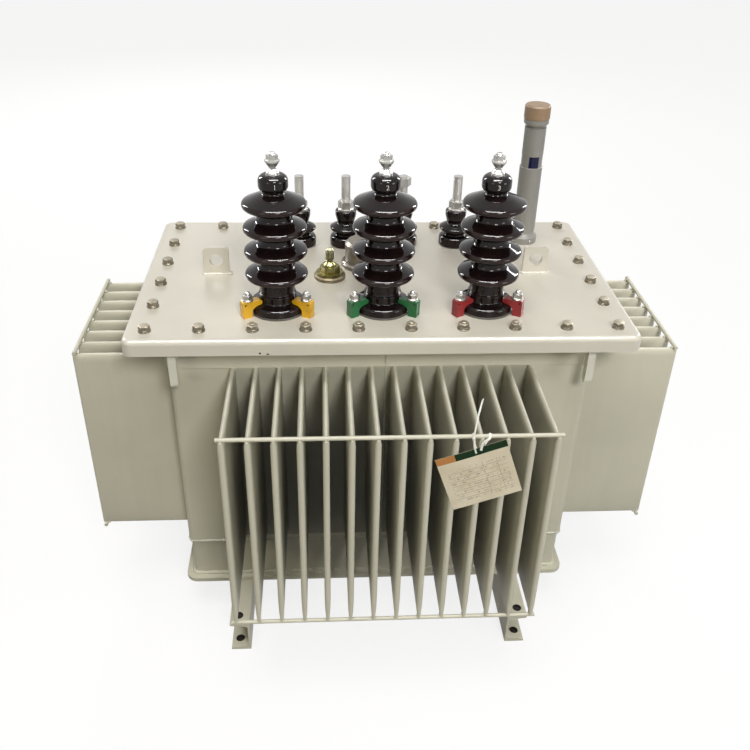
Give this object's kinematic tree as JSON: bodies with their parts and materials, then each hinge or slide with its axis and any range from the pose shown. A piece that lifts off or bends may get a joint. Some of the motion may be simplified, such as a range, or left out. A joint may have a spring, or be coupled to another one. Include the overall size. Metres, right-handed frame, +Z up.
{
  "type": "power transformer",
  "caption": "Oil-immersed power transformer: corrugated tank on skid rails, bolted cover with high- and low-voltage bushings, oil gauge and lifting lugs.",
  "frame": {"origin": "on the floor under the middle of the tank", "axes": "+X along the tank to the right, +Y towards the low-voltage back, +Z up"},
  "size_m": [1.24, 0.944, 1.063],
  "materials": {
    "cover_paint": "satin",
    "tank_paint": "satin",
    "porcelain": "glossy",
    "tinned_metal": "satin",
    "yellow_paint": "satin",
    "green_paint": "satin",
    "red_paint": "satin",
    "gasket_rubber": "matte",
    "zinc_yellow": "satin",
    "cast_cap": "satin",
    "gauge_body": "satin",
    "gauge_pane": "glossy",
    "gauge_cap": "matte"
  },
  "bodies": {
    "root": {"left_foot": "cover_paint", "right_foot": "cover_paint", "base_plate": "cover_paint", "lower_frame": "tank_paint", "tank_wall": "tank_paint", "rim_frame": "cover_paint", "cover_gasket": "gasket_rubber", "cover": "cover_paint", "front_fins": "tank_paint", "back_fins": "tank_paint", "left_fins": "tank_paint", "right_fins": "tank_paint", "front_rods": "cover_paint", "back_rods": "cover_paint", "left_rods": "cover_paint", "right_rods": "cover_paint", "hook_front_left": "cover_paint", "hook_front_right": "cover_paint", "hook_back_left": "cover_paint", "hook_back_right": "cover_paint", "left_lug": "cover_paint", "right_lug": "cover_paint", "hv_bushing_1": "porcelain", "hv_bushing_2": "porcelain", "hv_bushing_3": "porcelain", "hv_terminal_1": "tinned_metal", "hv_terminal_2": "tinned_metal", "hv_terminal_3": "tinned_metal", "hv_claws_1": "yellow_paint", "hv_claws_2": "green_paint", "hv_claws_3": "red_paint", "lv_bushing_1": "porcelain", "lv_bushing_2": "porcelain", "lv_bushing_3": "porcelain", "lv_bushing_4": "porcelain", "lv_terminal_1": "tinned_metal", "lv_terminal_2": "tinned_metal", "lv_terminal_3": "tinned_metal", "lv_terminal_4": "tinned_metal", "relief_valve": "zinc_yellow", "tap_changer": "cast_cap", "gauge_tube": "gauge_body", "gauge_pane": "gauge_pane", "gauge_cap": "gauge_cap"}
  },
  "joints": []
}
